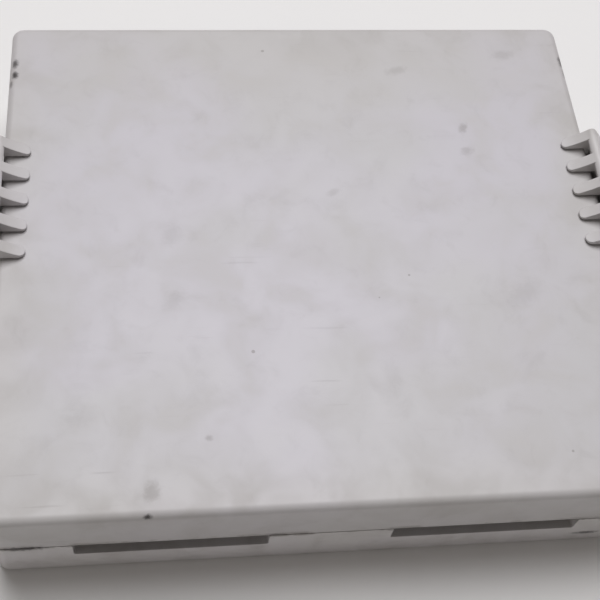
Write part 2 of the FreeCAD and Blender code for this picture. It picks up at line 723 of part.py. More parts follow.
def adapter_clip(x):
    """A U of spring steel round the adapter, with a tab sprung out on each side."""
    w, h = ADAPTER_W / 2, ADAPTER_H / 2
    y1 = PORT_Y - FLANGE_T / 2 - CLIP_FROM_FLANGE - CLIP_PLAY * 2
    y0 = y1 - CLIP_L + CLIP_PLAY * 4
    z0, z1 = PORT_Z - h, PORT_Z + h * CLIP_SHARE_UP - CLIP_PLAY * 2
    tab_z, tab_y = z1 - CLIP_TAB_LOW, y0 + CLIP_L / 2
    pieces = [block(x - w, x + w, y0, y1, z0, z0 + CLIP_T)]
    for s in (-1, 1):
        outer, inner = x + s * w, x + s * (w - CLIP_T)
        pieces.append(block(min(outer, inner), max(outer, inner), y0, y1, z0, z1))
        sprung = s * CLIP_TAB_OUT
        corners = [V(outer, y0, tab_z), V(inner, y0, tab_z), V(inner + sprung, tab_y, tab_z),
                   V(outer + sprung, tab_y, tab_z), V(outer, y0, tab_z)]
        pieces.append(Part.Face(Part.makePolygon(corners)).extrude(V(0, 0, CLIP_TAB_H)))
    return joined(pieces)


def split_sleeve(x):
    tube = rod_y(x, PORT_Y - SLEEVE_L / 2, PORT_Y + SLEEVE_L / 2, PORT_Z, SLEEVE_R)
    tube = tube.cut(rod_y(x, PORT_Y - SLEEVE_L, PORT_Y + SLEEVE_L, PORT_Z, SLEEVE_BORE_R))
    slit = block(x - SLEEVE_SLIT / 2, x + SLEEVE_SLIT / 2, PORT_Y - SLEEVE_L, PORT_Y + SLEEVE_L,
                 PORT_Z, PORT_Z + SLEEVE_R + PAST)
    return tube.cut(slit)


def port_cap(x):
    """A cap in a port's outer mouth, drawn about the port's middle and then moved there."""
    mouth = ADAPTER_L / 2
    w, h = PLUG_W / 2 - CAP_CLEAR, PLUG_H / 2 - CAP_CLEAR
    head_y = mouth + CAP_CLEAR
    body = block(-w, w, mouth - CAP_INSERT, head_y, -h, h)
    body = body.makeFillet(CAP_PLUG_R, edges_along_y(body))
    head_w, head_h = w + CAP_HEAD_W, h + CAP_HEAD_H
    head = block(-head_w, head_w, head_y, head_y + CAP_HEAD_T, -head_h, head_h)
    head = head.makeFillet(CAP_CORNER_R, edges_along_y(head))
    grip_y = head_y + CAP_HEAD_T - CAP_CLEAR
    grip_w, grip_h = CAP_GRIP_W / 2, CAP_GRIP_H / 2
    grip = block(-grip_w, grip_w, grip_y, grip_y + CAP_GRIP_L, -grip_h, grip_h)
    grip = grip.makeFillet(CAP_CORNER_R, edges_along_y(grip))
    grooves = []
    for share in CAP_GROOVES:
        y = grip_y + CAP_GRIP_L * share
        for s in (-1, 1):
            z0, z1 = sorted((s * (grip_h - CAP_GROOVE_D), s * (grip_h + PAST)))
            grooves.append(block(-CAP_GRIP_W, CAP_GRIP_W, y - CAP_GROOVE_W / 2, y + CAP_GROOVE_W / 2, z0, z1))
    bore = rod_y(0, mouth - CAP_INSERT - PAST, mouth - PAST, 0, HOLDER_R + HOLDER_PLAY)
    cap = cut_all(joined([body, head, grip]), grooves + [bore])
    cap.translate(V(x, PORT_Y, PORT_Z))
    return cap


# ---------------------------------------------------------------- pigtails
def mouth_y():
    """The inner ends of the adapters."""
    return PORT_Y - ADAPTER_L / 2


def plug(x):
    """A push-pull plug housing in the adapter's inner mouth, with its key on top."""
    y = mouth_y()
    w, h = PLUG_W / 2 - PLUG_CLEAR, PLUG_H / 2 - PLUG_CLEAR
    body = block(x - w, x + w, y - PLUG_OUT, y + PLUG_IN, PORT_Z - h, PORT_Z + h)
    body = body.makeFillet(ADAPTER_EDGE_R, edges_along_y(body))
    key_half = KEY_W / 2 - PLUG_CLEAR
    key = block(x - key_half, x + key_half, y - PLUG_OUT / 2, y + PLUG_DEPTH * KEYWAY_SHARE - FIT * 2,
                PORT_Z, PORT_Z + ADAPTER_H / 2 - PLUG_CLEAR)
    rings = []
    grip_h = h * KEYWAY_SHARE
    for k in range(PLUG_GRIPS):
        y0 = y - PLUG_OUT + PLUG_GRIP_FROM_END + k * PLUG_GRIP_T * 2
        for s in (-1, 1):
            a, b = sorted((x + s * (w - PLUG_GRIP_D), x + s * (w + PAST)))
            rings.append(block(a, b, y0, y0 + PLUG_GRIP_T, PORT_Z - grip_h, PORT_Z + grip_h))
    socket = rod_y(x, y + PLUG_IN - PLUG_SOCKET_L, y + PLUG_IN + PAST, PORT_Z, HOLDER_R + HOLDER_PLAY)
    bore = rod_y(x, y - PLUG_OUT - PAST, y + PLUG_IN, PORT_Z, SLEEVE_BORE_R - FERRULE_CLEAR)
    seat = rod_y(x, y - PLUG_OUT - PAST, y - PLUG_OUT + BOOT_STUB_L + PLUG_CLEAR, PORT_Z, BOOT_STUB_R + FIT)
    return cut_all(joined([body, key]), rings + [socket, bore, seat])


def ferrule(x):
    """A ferrule that meets the one on the other side in the middle of the split sleeve."""
    y0 = mouth_y() + PLUG_IN - PLUG_SOCKET_L - FERRULE_HELD
    y1 = PORT_Y - FERRULE_TIP_GAP
    body = rod_y(x, y0, y1, PORT_Z, SLEEVE_BORE_R - FERRULE_CLEAR)
    tip = [e for e in body.Edges if e.BoundBox.YMin > y1 - NEAR]
    body = body.makeFillet(FERRULE_CHAMFER_R, tip)
    return body.cut(rod_y(x, y0 - PAST, y0 + BOOT_STUB_L, PORT_Z, FIBRE_R + FIBRE_CLEAR))


def boot(x):
    """A tapered strain relief with cross cuts, pushed into the back of the plug."""
    y1 = mouth_y() - PLUG_OUT
    taper = Part.makeCone(BOOT_R1, BOOT_R0, BOOT_L, V(x, y1 - BOOT_L, PORT_Z), V(0, 1, 0))
    stub = rod_y(x, y1 - FIT, y1 + BOOT_STUB_L, PORT_Z, BOOT_STUB_R)
    cuts = []
    for k in range(BOOT_CUTS):
        y0 = y1 - BOOT_L + BOOT_CUT_FROM_END + k * BOOT_CUT_PITCH
        for s in (-1, 1):
            near, far = sorted((s * BOOT_CORE_R, s * BOOT_R0))
            if k % 2:
                cuts.append(block(x - BOOT_R0, x + BOOT_R0, y0, y0 + BOOT_CUT_W, PORT_Z + near, PORT_Z + far))
            else:
                cuts.append(block(x + near, x + far, y0, y0 + BOOT_CUT_W, PORT_Z - BOOT_R0, PORT_Z + BOOT_R0))
    bore = rod_y(x, y1 - BOOT_L - PAST, y1 + BOOT_STUB_L + PAST, PORT_Z, FIBRE_R + FIBRE_CLEAR)
    return cut_all(joined([taper, stub]), cuts + [bore])


def rounded_path(points, radii):
    """Straight runs joined by tangent arcs. A radius is cut down to what its two runs allow."""
    edges = []
    start = points[0]
    for before, corner, after, radius in zip(points, points[1:], points[2:], radii):
        inward, onward = (before - corner).normalize(), (after - corner).normalize()
        half = inward.getAngle(onward) / 2
        room = RUN_SHARE * min((before - corner).Length, (after - corner).Length)
        tangent = min(radius / math.tan(half), room)
        r = tangent * math.tan(half)
        a, b = corner + inward * tangent, corner + onward * tangent
        middle = (inward + onward).normalize()
        nearest = corner + middle * (r / math.sin(half) - r)
        edges.append(Part.LineSegment(start, a).toShape())
        edges.append(Part.Arc(a, nearest, b).toShape())
        start = b
    edges.append(Part.LineSegment(start, points[-1]).toShape())
    return Part.Wire(edges)


def fibre_route(track):
    """A pigtail from its boot, round the tray's right-hand spool and into its splice sleeve."""
    x, z = PORTS[track], PORT_Z
    sleeve_y, sleeve_z = splice_slots()[PORT_COUNT - 1 - track], fibre_bore_z()
    lane = TRAY_Y1 + LANE_FROM_TRAY + FIBRE_PITCH * track
    turn_in = HUB_X + FIBRE_PITCH * track
    points = [V(x, mouth_y() - PLUG_OUT - FIBRE_IN_BOOT, z)]
    if track == PORT_COUNT - 1:
        points.append(V(x, lane + SHORT_LANE_LATER, z))
        points.append(V(turn_in + SHORT_TURN_OUT, TRAY_Y1 + SHORT_TURN_FROM_TRAY, z))
    else:
        points += [V(x, lane, z), V(turn_in, lane, z)]
    half_step = math.radians(TRACK_ANGLES[0] - TRACK_ANGLES[1]) / 2
    ring = (TRACK_INNER_R + TRACK_PITCH * track) / math.cos(half_step)
    for angle in TRACK_ANGLES:
        a = math.radians(angle)
        points.append(V(HUB_X - TRACK_CENTRE_IN + ring * math.cos(a), TRAY_Y + ring * math.sin(a), z))
    mouth_x = SPLICE_L / 2 + MOUTH_ROOM
    share = RISE_SHARE + RISE_SHARE_STEP * track
    rise_y = share * points[-1].y + (1 - share) * sleeve_y
    points.append(V(mouth_x + RISE_ROOM - RISE_ROOM_STEP * track, rise_y, (z + sleeve_z) / 2))
    points.append(V(mouth_x - MOUTH_STEP * track, sleeve_y, sleeve_z))
    points.append(V(SPLICE_L / 2 - FIBRE_IN_SLEEVE, sleeve_y, sleeve_z))
    radii = [FIBRE_BEND_R] * (len(points) - 3) + [SLEEVE_BEND_R]
    return rounded_path(points, radii)


def fibre(track):
    route = fibre_route(track)
    start = route.Edges[0].Vertexes[0].Point
    ring = Part.Wire(Part.Circle(start, V(0, 1, 0), FIBRE_R).toShape())
    tube = route.makePipeShell([ring], True, False)
    share = tube.Volume / (route.Length * math.pi * FIBRE_R ** 2)
    radii = sorted({round(e.Curve.Radius, 1) for e in route.Edges if hasattr(e.Curve, "Radius")})
    print("fibre", track + 1, "length", round(route.Length, 1), "share", round(share, 4), "radii", radii)
    return tube


# ---------------------------------------------------------------- adapter retainer
def retainer_foot_y():
    return RETAINER_Y0 - POST_R - RETAINER_FOOT_GAP


def retainer():
    """The plate that drops over all the adapters in front of their flanges, and its screw foot."""
    half = SIDE - WALL - FIT
    plate = block(-half, half, RETAINER_Y0, RETAINER_Y1, FLOOR + FIT, RETAINER_TOP)
    upper = [e for e in edges_along_y(plate) if e.BoundBox.ZMin > RETAINER_TOP - NEAR]
    plate = plate.makeFillet(RETAINER_CORNER_R, upper)
    notches = [
        block(x - WINDOW_W / 2, x + WINDOW_W / 2, RETAINER_Y0 - PAST, RETAINER_Y1 + PAST,
              0, PORT_Z + ADAPTER_H / 2 + FIT)
        for x in PORTS
    ]
    foot_half = POST_R + FIT
    foot = block(-foot_half, foot_half, retainer_foot_y() - POST_R, RETAINER_Y0 + FIT,
                 RETAINER_FOOT_Z, RETAINER_FOOT_Z + RETAINER_FOOT_T)
    hole = post(0, retainer_foot_y(), 0, RETAINER_TOP, CLEARANCE_R)
    return cut_all(joined([plate, foot]), notches + [hole])


def retainer_screw():
    return screw(0, retainer_foot_y(), RETAINER_FOOT_Z + RETAINER_FOOT_T)


# ---------------------------------------------------------------- splice tray
def tray_outline(inset, z0, z1):
    """The tray's rounded outline, drawn in from its edge by inset."""
    return slab(TRAY_X - inset, TRAY_Y0 + inset, TRAY_Y1 - inset, z0, z1, TRAY_CORNER_R - inset)


def splice_tray():
    floor_top = TRAY_Z + TRAY_T
    wall = tray_outline(0, TRAY_Z, TRAY_TOP).cut(tray_outline(TRAY_WALL, floor_top, TRAY_TOP + PAST))
    pieces = [wall] + [post(x, y, TRAY_Z, floor_top, POST_R + SCREW_PAD) for x, y in tray_screw_places()]
    for side in (-1, 1):
        ring = post(side * HUB_X, TRAY_Y, TRAY_Z, TRAY_TOP, HUB_R)
        pieces.append(ring.cut(post(side * HUB_X, TRAY_Y, floor_top, TRAY_TOP + PAST, HUB_R - TRAY_WALL)))
        pieces += [keeper(side, angle) for angle in KEEPER_ANGLES]
    pieces.append(holder_room(HOLDER_KERB, TRAY_Z, floor_top + HOLDER_BED))
    tools = [post(x, y, TRAY_Z - PAST, TRAY_TOP + PAST, CLEARANCE_R) for x, y in tray_screw_places()]
    tools.append(holder_room(FIT, floor_top, TRAY_TOP))
    return cut_all(joined(pieces), tools + fibre_gates())


def holder_room(margin, z0, z1):
    """A block round the splice holder, larger by the margin on every side."""
    x, y = HOLDER_X / 2 + margin, holder_half() + margin
    return block(-x, x, TRAY_Y - y, TRAY_Y + y, z0, z1)


def keeper(side, angle):
    """A small tab on a hub's rim that keeps fibre from riding up."""
    half = KEEPER_W / 2
    tab = block(HUB_R - TRAY_WALL, HUB_R + KEEPER_REACH, -half, half, TRAY_TOP - KEEPER_T, TRAY_TOP)
    tab.rotate(V(0, 0, 0), V(0, 0, 1), angle)
    tab.translate(V(HUB_X, TRAY_Y, 0))
    return tab if side > 0 else mirrored(tab)


def fibre_gates():
    """Gaps in the tray's outer wall at its corners, towards the cables and towards the plugs."""
    gates = []
    keep_r = HUB_R + KEEPER_REACH + FIT
    for side in (-1, 1):
        x0, x1 = sorted((side * (HUB_X - GATE_IN), side * (HUB_X + GATE_OUT)))
        for y0, y1 in ((TRAY_Y0 - PAST, TRAY_Y0 + GATE_D), (TRAY_Y1 - GATE_D, TRAY_Y1 + PAST)):
            gap = block(x0, x1, y0, y1, TRAY_Z + TRAY_T, TRAY_TOP + PAST)
            gates.append(gap.cut(post(side * HUB_X, TRAY_Y, TRAY_Z, TRAY_TOP + 2 * PAST, keep_r)))
    return gates


def tray_screws():
    return Part.makeCompound([screw(x, y, TRAY_Z + TRAY_T) for x, y in tray_screw_places()])


def holder_half():
    return (HOLDER_PITCH * HOLDER_SLOTS + HOLDER_WEB) / 2


def splice_slots():
    """The middle of each slot along Y."""
    return [TRAY_Y + HOLDER_PITCH * (i - (HOLDER_SLOTS - 1) / 2) for i in range(HOLDER_SLOTS)]


def splice_holder():
    """A comb of soft webs that grips the splice sleeves side by side."""
    z0 = TRAY_Z + TRAY_T
    body = holder_room(0, z0, z0 + HOLDER_HEIGHT)
    above = z0 + HOLDER_HEIGHT + PAST
    mouth = SPLICE_R * HOLDER_MOUTH_SHARE
    tools = []
    for y in splice_slots():
        tools.append(rod_x(-HOLDER_X, HOLDER_X, y, splice_centre_z(), SPLICE_R + SPLICE_PLAY))
        tools.append(block(-HOLDER_X, HOLDER_X, y - mouth, y + mouth, splice_centre_z(), above))
    notch = HOLDER_X * HOLDER_NOTCH_SHARE / 2
    y = holder_half() + PAST
    tools.append(block(-notch, notch, TRAY_Y - y, TRAY_Y + y, z0 + HOLDER_NOTCH_Z, above))
    return cut_all(body, tools)


def splice_centre_z():
    return TRAY_Z + TRAY_T + HOLDER_BED + SPLICE_R


def fibre_bore_z():
    return splice_centre_z() + SPLICE_R - SPLICE_SKIN - FIBRE_R - FIBRE_CLEAR


def rod_bore_z():
    return splice_centre_z() - SPLICE_R + SPLICE_SKIN + SPLICE_ROD_R


def splice_sleeves():
    """Shrink sleeves, each a tube with a bore beside the steel rod's own bore."""
    sleeves = []
    z = splice_centre_z()
    for y in splice_slots():
        tube = rod_x(-SPLICE_L / 2, SPLICE_L / 2, y, z, SPLICE_R)
        tube = tube.cut(rod_x(-SPLICE_L, SPLICE_L, y, rod_bore_z(), SPLICE_ROD_R))
        sleeves.append(tube.cut(rod_x(-SPLICE_L, SPLICE_L, y, fibre_bore_z(), FIBRE_R + FIBRE_CLEAR)))
    return Part.makeCompound(sleeves)


def sleeve_rods():
    z = rod_bore_z()
    reach = SPLICE_L / 2 - ROD_FROM_END
    return Part.makeCompound([rod_x(-reach, reach, y, z, SPLICE_ROD_R) for y in splice_slots()])


# ---------------------------------------------------------------- cable clamps
def cable_clamp(side):
    """A bar with a toothed underside, screwed down on the two posts beside a saddle."""
    middle = side * SLOT_SPACING / 2
    half = CLAMP_W / 2
    bar = block(middle - half, middle + half, CLAMP_Y0, CLAMP_Y0 + CLAMP_D, CLAMP_Z, CLAMP_Z + CLAMP_T)
    bar = bar.makeFillet(CLAMP_CORNER_R, upright_edges(bar))
    pitch = CLAMP_D / CLAMP_TEETH
    starts = [CLAMP_Y0 + pitch * (i + 0.5) for i in range(CLAMP_TEETH - 1)]
    teeth = [clamp_tooth(middle, y, CLAMP_Z, -CLAMP_TOOTH_H) for y in starts]
    holes = [post(x, y, 0, HEIGHT, CLEARANCE_R) for x, y in clamp_screw_places(side)]
    return cut_all(joined([bar] + teeth), holes)


def clamp_screws():
    places = clamp_screw_places(-1) + clamp_screw_places(1)
    return Part.makeCompound([screw(x, y, CLAMP_Z + CLAMP_T) for x, y in places])


# ---------------------------------------------------------------- all pieces
def pieces():
    made = {
        "base": base(),
        "cover": cover(),
        "latch_right": latch(),
        "latch_pin_right": latch_pin(),
        "latch_spring_right": latch_spring(),
        "adapter_sleeves": Part.makeCompound([split_sleeve(x) for x in PORTS]),
        "plug_boots": Part.makeCompound([boot(x) for x in PORTS]),
        "plug_ferrules": Part.makeCompound([ferrule(x) for x in PORTS]),
        "adapter_clips": Part.makeCompound([adapter_clip(x) for x in PORTS]),
        "adapter_retainer": retainer(),
        "retainer_screw": retainer_screw(),
        "splice_tray": splice_tray(),
        "tray_screws": tray_screws(),
        "splice_holder": splice_holder(),
        "splice_sleeves": splice_sleeves(),
        "sleeve_rods": sleeve_rods(),
        "cable_clamp_left": cable_clamp(-1),
        "cable_clamp_right": cable_clamp(1),
        "clamp_screws": clamp_screws(),
    }
    for name in ("latch", "latch_pin", "latch_spring"):
        made[name + "_left"] = mirrored(made[name + "_right"])
    for i, x in enumerate(PORTS, 1):
        made[f"adapter_{i}"] = adapter(x)
        made[f"port_cap_{i}"] = port_cap(x)
        made[f"pigtail_plug_{i}"] = plug(x)
        made[f"pigtail_fiber_{i}"] = fibre(i - 1)
    return made


def main():
    os.makedirs("parts", exist_ok=True)
    for name, shape in pieces().items():
        if not shape.isValid() or not shape.Solids:
            print("check", name, shape.isValid(), len(shape.Solids))
        shape.exportStep(f"parts/{name}.step")
        print(name, len(shape.Solids), round(shape.Volume, 1))


main()
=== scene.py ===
import math

import bpy
from mathutils import Matrix, Vector


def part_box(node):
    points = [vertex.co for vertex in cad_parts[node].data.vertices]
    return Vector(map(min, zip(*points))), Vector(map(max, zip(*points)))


# A flat white fibre termination box on a pale floor: materials, light and camera.
# Lengths are in metres, in the frame of the model: X right, Y to the ports, Z up.

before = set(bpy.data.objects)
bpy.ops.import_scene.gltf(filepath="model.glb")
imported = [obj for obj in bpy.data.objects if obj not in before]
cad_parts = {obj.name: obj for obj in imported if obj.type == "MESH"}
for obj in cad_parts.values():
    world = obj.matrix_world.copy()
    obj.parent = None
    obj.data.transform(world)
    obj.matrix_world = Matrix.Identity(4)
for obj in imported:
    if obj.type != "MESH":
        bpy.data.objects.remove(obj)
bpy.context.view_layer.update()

MM = 0.001

# ---------------------------------------------------------------- places read from the frame
case_low, case_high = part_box("base")
HALF_W = (case_high[0] - case_low[0]) / 2
HALF_D = (case_high[1] - case_low[1]) / 2
SEAM_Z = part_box("cover")[0][2]

# ---------------------------------------------------------------- colours, linear
SHELL = (0.560, 0.548, 0.560)
SHELL_WARM = (0.548, 0.528, 0.505)
SHELL_LILAC = (0.585, 0.566, 0.604)
SOIL = (0.200, 0.180, 0.160)
SCUFF = (0.035, 0.030, 0.028)
INNER = (0.640, 0.640, 0.620)
INNER_WARM = (0.600, 0.590, 0.550)
ADAPTER_BLUE = (0.020, 0.105, 0.330)
ADAPTER_DEEP = (0.014, 0.080, 0.270)
PLUG_BLUE = (0.026, 0.130, 0.400)
PLUG_DEEP = (0.020, 0.105, 0.340)
BOOT_BLUE = (0.060, 0.190, 0.420)
BOOT_DEEP = (0.045, 0.150, 0.350)
JACKET = (0.680, 0.560, 0.080)
JACKET_DEEP = (0.610, 0.490, 0.060)
CAP_GREY = (0.060, 0.060, 0.064)
CAP_WORN = (0.105, 0.105, 0.108)
CLAMP_BLACK = (0.022, 0.022, 0.024)
CLAMP_WORN = (0.050, 0.050, 0.052)
RUBBER = (0.018, 0.018, 0.019)
RUBBER_DUST = (0.070, 0.068, 0.064)
FILM = (0.780, 0.800, 0.810)
FILM_CLOUD = (0.700, 0.715, 0.720)
CERAMIC = (0.830, 0.815, 0.770)
CERAMIC_DEEP = (0.760, 0.740, 0.690)
ZINC = (0.560, 0.565, 0.580)
ZINC_DULL = (0.360, 0.365, 0.375)
FLOOR = (0.900, 0.895, 0.885)
FLOOR_DULL = (0.875, 0.868, 0.856)
SKY = (1.0, 0.945, 0.905, 1.0)

# ---------------------------------------------------------------- case plastic: pattern sizes in metres
MOTTLE = 0.034
PATCH = 0.011
FLECK = 0.0022
GRIME = 0.0052
SEAM_SOIL = 0.0065
SPECK_SPACING = 0.0062
SCRATCH_WIDTHS = (0.00055, 0.00060)
SCRATCHED_AREA = 0.016
TORN_EDGE = 0.0011
GRAIN = 0.00028
RIPPLE = 0.0065
RIM_REACH = 0.012
SEAM_REACH = 0.0016
SEAM_CORE = 0.0002
AGED_FROM = 0.034
AGED_TO = 0.076
AGED_WAVER = 0.03
EDGE_WEAR = 0.0006
EDGE_SOFT = 0.0003

# How far each layer of the case plastic goes over what is under it, 0 to 1.
PATCH_SHARE = 0.40
AGED_SHARE = 0.50
RIM_WARMTH = 0.55
GRIME_SHARE = 0.10
RIM_GRIME_SHARE = 0.12
SEAM_SHARE = 0.55
SPECK_SHARE = 0.42
SCRATCH_SHARE = 0.07
DIRT_LIMIT = 0.8
WEAR_SHARE = 0.22
WEAR_GAIN = 1.18
BRIGHTEST = 0.9

# Marks on the cover and scuffs on the case: place and radius in mm, length over width, turn about Z
# in degrees, strength.
MARKS = [
    ((34.3, 26.3, 25.0), 1.0, 1.6, 60, 0.34),
    ((34.2, 20.3, 25.0), 1.3, 1.3, 20, 0.22),
    ((5.1, 10.2, 25.0), 0.9, 2.0, 30, 0.16),
    ((-21.6, -41.3, 25.0), 0.7, 1.2, 0, 0.30),
    ((-31.5, -50.5, 25.0), 1.6, 1.3, 80, 0.30),
    ((22.0, 42.2, 25.0), 1.2, 2.2, 15, 0.20),
    ((46.4, 46.6, 25.0), 1.4, 2.0, 5, 0.18),
    ((-27.1, 0.8, 25.0), 2.2, 1.4, 70, 0.10),
    ((-27.3, -13.8, 25.0), 1.8, 1.6, 50, 0.10),
    ((40.0, -14.2, 25.0), 2.6, 1.8, 40, 0.12),
    ((-43.0, -36.0, 25.0), 2.4, 1.5, 20, 0.08),
    ((12.0, -30.0, 25.0), 2.0, 1.8, 100, 0.07),
]

SCUFFS = [
    ((-32.3, -54.8, 24.6), 0.6, 1.6, 0, 0.90),
    ((-58.8, 44.7, 24.8), 0.8, 1.6, 80, 0.85),
    ((-58.7, 41.4, 24.8), 0.8, 1.5, 100, 0.95),
    ((-59.4, 39.2, 24.6), 0.5, 2.0, 90, 0.60),
    ((-60.0, 46.8, 17.9), 1.2, 1.4, 90, 0.50),
    ((59.5, 44.8, 24.6), 0.8, 2.4, 90, 0.72),
    ((59.6, 41.2, 24.6), 0.5, 3.2, 90, 0.35),
    ((-53.8, -55.0, 12.2), 1.2, 3.6, 0, 0.85),
    ((49.2, -55.0, 4.4), 0.9, 3.4, 0, 0.80),
    ((-10.2, -55.0, 12.9), 0.5, 4.0, 0, 0.55),
]

# Raggedness of a mark's edge, and the distances, in radii, where it fades out and is full.
MARK_TEAR = 1.5
MARK_OUTER = 1.25
MARK_INNER = 0.25

# Dot product of the bevelled and true normals on a flat and on a full edge, and rays per look-up.
EDGE_FLAT = 0.985
EDGE_FULL = 0.86
EDGE_RAYS = 4
SOFT_RAYS = 6


# ---------------------------------------------------------------- node building
class Weave:
    """Adds shader nodes to a material in one line each. Its calls take sockets or plain values."""

    def __init__(self, name):
        self.material = bpy.data.materials.new(name)
        self.material.use_nodes = True
        self.tree = self.material.node_tree
        self.tree.nodes.clear()
        self.output = self.tree.nodes.new("ShaderNodeOutputMaterial")
        self.shader = self.tree.nodes.new("ShaderNodeBsdfPrincipled")
        self.tree.links.new(self.shader.outputs[0], self.output.inputs["Surface"])
        self.place = self.tree.nodes.new("ShaderNodeTexCoord").outputs["Object"]

    def feed(self, socket, value):
        if isinstance(value, bpy.types.NodeSocket):
            self.tree.links.new(value, socket)
        elif isinstance(value, (tuple, list)) and len(value) == 3 and len(socket.default_value) == 4:
            socket.default_value = (*value, 1.0)
        else:
            socket.default_value = value

    def math(self, operation, *values):
        node = self.tree.nodes.new("ShaderNodeMath")
        node.operation = operation
        for socket, value in zip(node.inputs, values):
            self.feed(socket, value)
        return node.outputs[0]

    def total(self, values):
        result = values[0]
        for value in values[1:]:
            result = self.math("ADD", result, value)
        return result

    def highest(self, values):
        result = values[0]
        for value in values[1:]:
            result = self.math("MAXIMUM", result, value)
        return result

    def vector(self, operation, *values):
        node = self.tree.nodes.new("ShaderNodeVectorMath")
        node.operation = operation
        for socket, value in zip(node.inputs, values):
            self.feed(socket, value)
        return node.outputs[1 if operation in ("LENGTH", "DISTANCE", "DOT_PRODUCT") else 0]

    def mapped(self, turn=(0, 0, 0), scale=(1, 1, 1), at=None, shift=(0, 0, 0)):
        """The place, or another vector, scaled, then turned, then shifted."""
        node = self.tree.nodes.new("ShaderNodeMapping")
        node.vector_type = "POINT"
        self.feed(node.inputs["Vector"], at or self.place)
        node.inputs["Location"].default_value = shift
        node.inputs["Rotation"].default_value = turn
        node.inputs["Scale"].default_value = scale
        return node.outputs[0]

    def noise(self, size, detail=3.0, rough=0.5, at=None, warp=0.0):
        """Noise around 0.5, with features of about the given size in metres."""
        node = self.tree.nodes.new("ShaderNodeTexNoise")
        self.feed(node.inputs["Vector"], at or self.place)
        node.inputs["Scale"].default_value = 1.0 / size
        node.inputs["Detail"].default_value = detail
        node.inputs["Roughness"].default_value = rough
        node.inputs["Distortion"].default_value = warp
        return node.outputs["Fac"]

    def cells(self, size):
        """Distance to the nearest random point and that point's own random colour."""
        node = self.tree.nodes.new("ShaderNodeTexVoronoi")
        self.feed(node.inputs["Vector"], self.place)
        node.inputs["Scale"].default_value = 1.0 / size
        return node.outputs["Distance"], node.outputs["Color"]

    def step(self, value, low, high, to_low=0.0, to_high=1.0):
        """A soft step from to_low to to_high as the value goes from low to high."""
        node = self.tree.nodes.new("ShaderNodeMapRange")
        node.interpolation_type = "SMOOTHSTEP"
        node.clamp = True
        self.feed(node.inputs["Value"], value)
        node.inputs["From Min"].default_value = low
        node.inputs["From Max"].default_value = high
        node.inputs["To Min"].default_value = to_low
        node.inputs["To Max"].default_value = to_high
        return node.outputs["Result"]

    def blend(self, share, first, second):
        """The first colour where the share is 0 and the second where it is 1."""
        node = self.tree.nodes.new("ShaderNodeMix")
        node.data_type = "RGBA"
        colours = [s for s in node.inputs if s.type == "RGBA"]
        self.feed(node.inputs["Factor"], share)
        self.feed(colours[0], first)
        self.feed(colours[1], second)
        return next(s for s in node.outputs if s.type == "RGBA")

    def axes(self, value):
        node = self.tree.nodes.new("ShaderNodeSeparateXYZ")
        self.feed(node.inputs[0], value)
        return node.outputs

    def edge(self, radius):
        """1 on edges that are sharper than the radius and 0 on flats."""
        bevel = self.tree.nodes.new("ShaderNodeBevel")
        bevel.samples = EDGE_RAYS
        bevel.inputs["Radius"].default_value = radius
        normal = self.tree.nodes.new("ShaderNodeNewGeometry").outputs["Normal"]
        return self.step(self.vector("DOT_PRODUCT", bevel.outputs[0], normal), EDGE_FLAT, EDGE_FULL)

    def bump(self, layers, soften=0.0):
        """Chains bump nodes, each (height, strength, depth in metres), over edges softened by a radius."""
        normal = None
        if soften:
            bevel = self.tree.nodes.new("ShaderNodeBevel")
            bevel.samples = SOFT_RAYS
            bevel.inputs["Radius"].default_value = soften
            normal = bevel.outputs[0]
        for height, strength, depth in layers:
            node = self.tree.nodes.new("ShaderNodeBump")
            node.inputs["Strength"].default_value = strength
            node.inputs["Distance"].default_value = depth
            self.feed(node.inputs["Height"], height)
            if normal:
                self.tree.links.new(normal, node.inputs["Normal"])
            normal = node.outputs[0]
        self.tree.links.new(normal, self.shader.inputs["Normal"])

    def finish(self, colour, rough, **values):
        self.feed(self.shader.inputs["Base Color"], colour)
        self.feed(self.shader.inputs["Roughness"], rough)
        for name, value in values.items():
            self.shader.inputs[name.replace("_", " ")].default_value = value
        return self.material


def shaded(colour, gain, lift=0.0, limit=1.0):
    return tuple(min(c * gain + lift, limit) for c in colour)


def mark_mask(weave, marks, ragged):
    """Soft-edged blotches at the given places, torn by a shared noise."""
    torn = weave.math("MULTIPLY", weave.math("SUBTRACT", ragged, 0.5), MARK_TEAR)
    masks = []
    for place, radius, stretch, turn, strength in marks:
        angle = math.radians(turn)
        centre = Matrix.Rotation(-angle, 3, "Z") @ Vector([v * MM for v in place])
        inverse = 1.0 / (radius * MM)
        scale = (inverse / stretch, inverse, inverse)
        turned = weave.mapped(turn=(0, 0, -angle))
        local = weave.mapped(scale=scale, at=turned, shift=tuple(-c * s for c, s in zip(centre, scale)))
        distance = weave.math("ADD", weave.vector("LENGTH", local), torn)
        masks.append(weave.step(distance, MARK_OUTER, MARK_INNER, to_high=strength))
    return weave.highest(masks)


def near_rim_mask(w, x, y):
    """1 at the sides and ends of the case, fading inwards."""
    from_side = w.math("SUBTRACT", HALF_W, w.math("ABSOLUTE", x))
    from_end = w.math("SUBTRACT", HALF_D, w.math("ABSOLUTE", y))
    return w.step(w.math("MINIMUM", from_side, from_end), RIM_REACH, 0.0)


